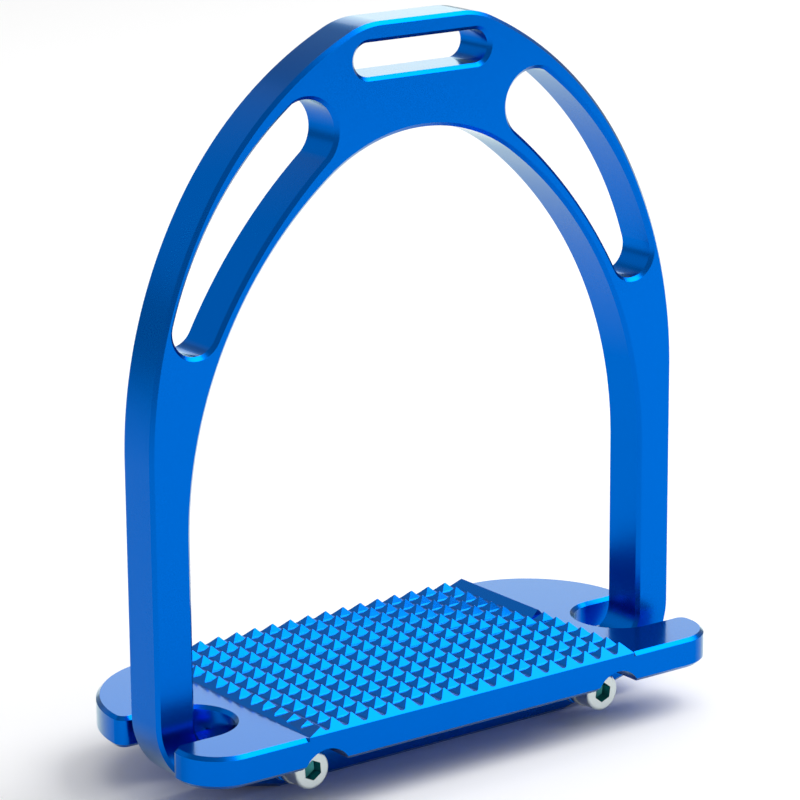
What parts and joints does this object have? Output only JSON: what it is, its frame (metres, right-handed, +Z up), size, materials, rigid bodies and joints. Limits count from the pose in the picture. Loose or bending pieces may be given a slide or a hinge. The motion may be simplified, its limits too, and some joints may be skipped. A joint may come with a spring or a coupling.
{
  "type": "stirrup iron",
  "caption": "Arched metal stirrup iron with windowed shoulders, a strap slot in the crown and a wide studded tread plate screwed to the bottom bar.",
  "frame": {"origin": "underside of the bow's bottom bar, midway between the legs and midway through the bow's depth", "axes": "+Z up towards the strap slot, +X along the tread from leg to leg, -Y out of the front, the side the screw heads face"},
  "size_m": [0.1392, 0.062, 0.1614],
  "materials": {
    "anodised_blue": "bright anodised blue",
    "tread_blue": "bright anodised blue",
    "screw_steel": "bright plated",
    "washer_steel": "plated"
  },
  "bodies": {
    "iron": {"bow": "anodised_blue", "tread_plate": "tread_blue"},
    "left_washer_body": {"left_washer": "washer_steel"},
    "left_screw_body": {"left_cap_screw": "screw_steel"},
    "right_washer_body": {"right_washer": "washer_steel"},
    "right_screw_body": {"right_cap_screw": "screw_steel"}
  },
  "joints": [
    {"name": "left_screw_withdraw", "type": "slide", "parent": "iron", "child": "left_washer_body", "axis": [0, -1, 0], "range_m": [0, 0.0064]},
    {"name": "left_screw_turn", "type": "hinge", "parent": "left_washer_body", "child": "left_screw_body", "pos_m": [-0.0394, 0, 0.0078], "axis": [0, -1, 0], "range_deg": [0, 2881]},
    {"name": "right_screw_withdraw", "type": "slide", "parent": "iron", "child": "right_washer_body", "axis": [0, -1, 0], "range_m": [0, 0.0064]},
    {"name": "right_screw_turn", "type": "hinge", "parent": "right_washer_body", "child": "right_screw_body", "pos_m": [0.0394, 0, 0.0078], "axis": [0, -1, 0], "range_deg": [0, 2881]}
  ],
  "couplings": [
    {"joint": "left_screw_turn", "follows": "left_screw_withdraw", "rad_per_m": 7854},
    {"joint": "right_screw_turn", "follows": "right_screw_withdraw", "rad_per_m": 7854}
  ]
}
